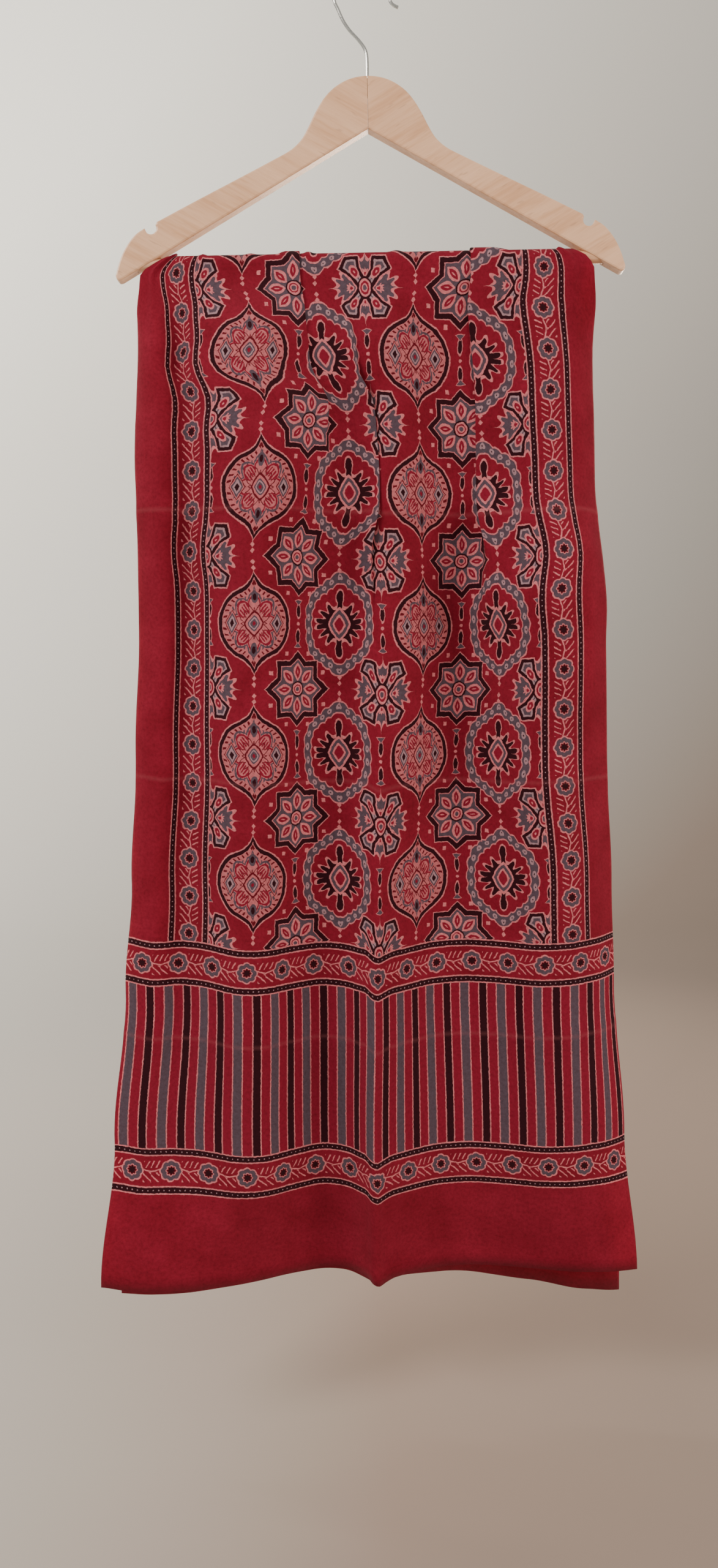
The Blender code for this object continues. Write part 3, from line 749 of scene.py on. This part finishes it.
def printed_cotton():
    """Light cotton voile, block printed: dull, faintly see-through, with a weave just felt."""
    material, tree, shader = new_material("block_printed_cotton", Roughness=0.85, Specular_IOR_Level=0.12,
                                          Sheen_Weight=0.06, Sheen_Roughness=0.6)
    place = add_node(tree, "UVMap", uv_map="flat_place")
    fine = add_node(tree, "TexNoise", place, None, LINE_WANDERS, 1.0, 0.5, output=1)
    wander = (LINE_WANDER * MM, LINE_WANDER * MM, 0.0)
    straight = add_node(tree, "VectorMath", fine, wander, place, operation="MULTIPLY_ADD")
    soft = add_node(tree, "TexNoise", place, None, FORM_WANDERS, 2.0, 0.6, output=1)
    shift = add_node(tree, "VectorMath", soft, (0.5, 0.5, 0.5), operation="SUBTRACT")
    wander = (FORM_WANDER * MM, FORM_WANDER * MM, 0.0)
    moved = add_node(tree, "VectorMath", shift, wander, straight, operation="MULTIPLY_ADD")
    lines = add_node(tree, "SeparateXYZ", straight).node
    motifs = add_node(tree, "SeparateXYZ", moved).node
    line_u, line_v, u, v = [Amount(tree, along) * (1 / MM) - LINE_WANDER / 2 for along in
                            (lines.outputs[0], lines.outputs[1], motifs.outputs[0], motifs.outputs[1])]

    end = v.math("MINIMUM", CLOTH_LENGTH - v)
    line_end = line_v.math("MINIMUM", CLOTH_LENGTH - line_v)
    line_edge = line_u.math("MINIMUM", CLOTH_WIDTH - line_u)
    in_end = line_end < FIELD_START
    in_field = (line_edge > SELVEDGE + BORDER) * (line_end > FIELD_START)

    x1 = (u - FIRST_MEDALLION).wrap(REPEAT_ACROSS)
    x3 = (u - (FIRST_MEDALLION - REPEAT_ACROSS / 4)).wrap(REPEAT_ACROSS)
    y1 = (end - (FIELD_START + FIRST_ROW)).wrap(REPEAT_ALONG)
    y2 = REPEAT_ALONG / 2 - y1

    dye = add_node(tree, "TexNoise", place, None, DYE_CLOUDS, 3.0, 0.6)
    dyes = ((0.3, linear(DYE_DEEP)), (0.7, linear(DYE_FULL)))
    colour = with_stops(add_node(tree, "ValToRGB", dye), dyes)
    # Painted shade: the cloth a fifth of the way to the deep red within HEM of each end, where the hem is
    # turned up
    colour = ink_over(colour, "deep", (line_end < HEM) * HEM_PAINTED_SHADE)

    x = x1.math("MINIMUM", REPEAT_ACROSS / 2 - x1)
    colour = print_medallion(colour, x, y1, (x1 < REPEAT_ACROSS / 4) * in_field)
    colour = print_oval(colour, x, y1, (x1 > REPEAT_ACROSS / 4) * in_field)
    far_x = x3.math("MINIMUM", REPEAT_ACROSS / 2 - x3)
    colour = print_star(colour, far_x, y2, (x3 > REPEAT_ACROSS / 4) * in_field)
    colour = print_quatrefoil(colour, far_x, y2, (x3 < REPEAT_ACROSS / 4) * in_field)
    colour = print_chains(colour, far_x, y1, x, y2, in_field)

    upper = line_end > (END_PLAIN + FIELD_START) / 2
    end_w = upper.pick(line_end - (FIELD_START - BORDER), line_end - END_PLAIN)
    w = in_end.pick(end_w, line_edge - SELVEDGE)
    in_border = (w > 0) * (w < BORDER)
    colour = print_border(colour, w, in_end.pick(line_u, line_v), in_end.pick(u, v), in_border)

    in_stripes = (line_end > END_PLAIN + BORDER) * (line_end < FIELD_START - BORDER)
    period = ((line_u - STRIPE_START) / STRIPE_PITCH).math("FRACT") * STRIPE_PITCH
    colour = print_over(colour, rings(period, STRIPES, STRIPE_PITCH), in_stripes)

    wear = add_node(tree, "TexNoise", place, None, WEAR_SPECKS, 3.0, 0.75)
    shade = with_stops(add_node(tree, "ValToRGB", wear), WEAR)
    colour = add_node(tree, "Mix", 1.0, None, None, None, None, None, colour, shade, output=2,
                      data_type="RGBA", blend_type="MULTIPLY")
    # Paler along each storage crease: pale pink mixed in, most at the crease line and none 3 mm to either
    # side
    crease = (v - (FRONT_LENGTH - CREASE_FIRST)).wrap(CREASE_SPACING)
    crease_pale = (1.0 - crease * (1 / CREASE_PALE_WIDTH)).math("MAXIMUM", 0.0) * CREASE_PALENESS
    colour = ink_over(colour, "fill", crease_pale)
    tree.links.new(colour, shader.inputs["Base Color"])

    waves = 2 * math.pi / THREAD_SPACING
    threads = (u * waves).math("SINE") * (v * waves).math("SINE")
    turned_up = (line_end - HEM).math("MULTIPLY", -1.0).math("SMOOTH_MAX", 0.0, 1.0).math("MINIMUM", 1.5)
    relief = add_node(tree, "Bump", 0.25, THREAD_HEIGHT * MM, None, (threads + turned_up).socket)
    tree.links.new(relief, shader.inputs["Normal"])
    through = add_node(tree, "BsdfTranslucent", colour)
    both = add_node(tree, "MixShader", LIGHT_THROUGH, shader.outputs[0], through)
    tree.links.new(both, tree.nodes["Material Output"].inputs["Surface"])
    return material


points, flat_u, flat_v = drape()
stole = add_piece("stole_cloth", grid_mesh("stole_cloth", points, flat_u, flat_v), printed_cotton())
thickness = stole.modifiers.new("cloth_thickness", "SOLIDIFY")
thickness.thickness = CLOTH_THICK * MM
thickness.offset = 0.0
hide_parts("stole")
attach(stole, "root")


# Studio: a floor that sweeps up into a far backdrop, painted a warm off-white with painted shade
# that darkens it to the right and downwards, a large soft light high on the left, a weaker one on the
# right, one behind that glows through the single layers of cloth and one on the backdrop.
FLOOR_Z = -1.3
BACKDROP_Y = 3.6
SWEEP_FRONT_Y = -2.5
SWEEP_RADIUS = 1.6
SWEEP_HALF_WIDTH = 4.5
SWEEP_TOP_Z = 4.0
SWEEP_STEPS = 24
SHADED_FROM = (0.0, -1.05, -0.58)
DARKER_RIGHT = 0.8
DARKER_DOWN = 0.8
NEAREST_SHADED = 1.6
PAINTED_SHADE = ((0.0, "FFFDF6"), (0.39, "D7D3CD"), (0.66, "B0ABA5"), (0.86, "94857B"), (1.0, "887A71"))


def sweep_paint_and_painted_shade():
    """Matt off-white paint with painted light and shade: pale high on the left, a warm grey-brown low on the
    right.

    The shade is 0.5, plus a share of the slope to the right, less a share of the slope upwards, both
    seen from the place that it is shaded from and no steeper than at the nearest distance."""
    material, tree, shader = new_material("matt_off_white_paint_with_painted_shade", Roughness=0.95, Specular_IOR_Level=0.1)
    place = add_node(tree, "SeparateXYZ", add_node(tree, "TexCoord", output=3)).node
    x, y, z = [Amount(tree, socket) for socket in place.outputs]
    away = (y - SHADED_FROM[1]).math("MAXIMUM", NEAREST_SHADED)
    # Painted shade: darker to the right and downwards, as seen from the camera's place
    shade = 0.5 + x / away * DARKER_RIGHT - (z - SHADED_FROM[2]) / away * DARKER_DOWN
    painted_shade_stops = [(at, linear(code)) for at, code in PAINTED_SHADE]
    tint = with_stops(add_node(tree, "ValToRGB", shade.socket), painted_shade_stops)
    tree.links.new(tint, shader.inputs["Base Color"])
    return material


turn = np.linspace(0, math.pi / 2, SWEEP_STEPS)
cove = np.stack([BACKDROP_Y - SWEEP_RADIUS + SWEEP_RADIUS * np.sin(turn),
                 FLOOR_Z + SWEEP_RADIUS * (1 - np.cos(turn))], axis=1)
profile = np.vstack([[SWEEP_FRONT_Y, FLOOR_Z], cove, [BACKDROP_Y, SWEEP_TOP_Z]])
sides = np.array([-SWEEP_HALF_WIDTH, SWEEP_HALF_WIDTH])
corners = np.stack([np.tile(sides, (len(profile), 1)), np.repeat(profile[:, :1], 2, axis=1),
                    np.repeat(profile[:, 1:], 2, axis=1)], axis=2)
sweep = add_piece("studio_sweep", grid_mesh("studio_sweep", corners / MM, corners[..., 0], corners[..., 1]),
                  sweep_paint_and_painted_shade())

world = bpy.data.worlds.new("pale_room")
bpy.context.scene.world = world
world.use_nodes = True
world.node_tree.nodes["Background"].inputs["Color"].default_value = linear("E2DED6")
world.node_tree.nodes["Background"].inputs["Strength"].default_value = 0.85


def soft_light(name, place, aim, size, power, colour, spread=180.0):
    """A square area light of the given size in metres, pointed from its place at its aim."""
    data = bpy.data.lights.new(name, "AREA")
    data.size = size
    data.energy = power
    data.color = linear(colour)[:3]
    data.spread = math.radians(spread)
    light = bpy.data.objects.new(name, data)
    bpy.context.scene.collection.objects.link(light)
    light.location = place
    direction = np.array(aim) - np.array(place)
    yaw = math.atan2(-direction[0], direction[1])
    pitch = math.atan2(math.hypot(direction[0], direction[1]), -direction[2])
    light.rotation_euler = (pitch, 0.0, yaw)
    return light


soft_light("window_left", (-2.1, -1.5, 1.2), (0.0, 0.0, -0.5), 1.1, 71.0, "FFF6EE")
soft_light("fill_right", (2.2, -1.2, -0.4), (0.1, 0.0, -0.6), 1.4, 44.0, "FFF0E4")
soft_light("glow_behind", (0.9, 1.9, -0.3), (0.05, 0.0, -0.7), 1.0, 15.0, "FFEBD6", 80.0)
soft_light("backdrop_wash", (-2.4, 1.2, 1.8), (-1.3, 3.6, 1.0), 1.4, 82.0, "FFFCF4")

# Camera: a phone held level with the middle of the cloth and tipped a little down
EYE = (-18.3, -1050.0, -579.5)
LENS = 27.04
SENSOR = 36.0
TIP_DOWN = 6.0
ROLL = -1.1

lens = bpy.data.cameras.new("camera")
lens.lens = LENS
lens.sensor_width = SENSOR
camera = bpy.data.objects.new("camera", lens)
bpy.context.scene.collection.objects.link(camera)
camera.location = [c * MM for c in EYE]
camera.rotation_mode = "XYZ"
camera.rotation_euler = (math.radians(90 - TIP_DOWN), 0.0, 0.0)
camera.rotation_euler.rotate_axis("Z", math.radians(ROLL))
bpy.context.scene.camera = camera
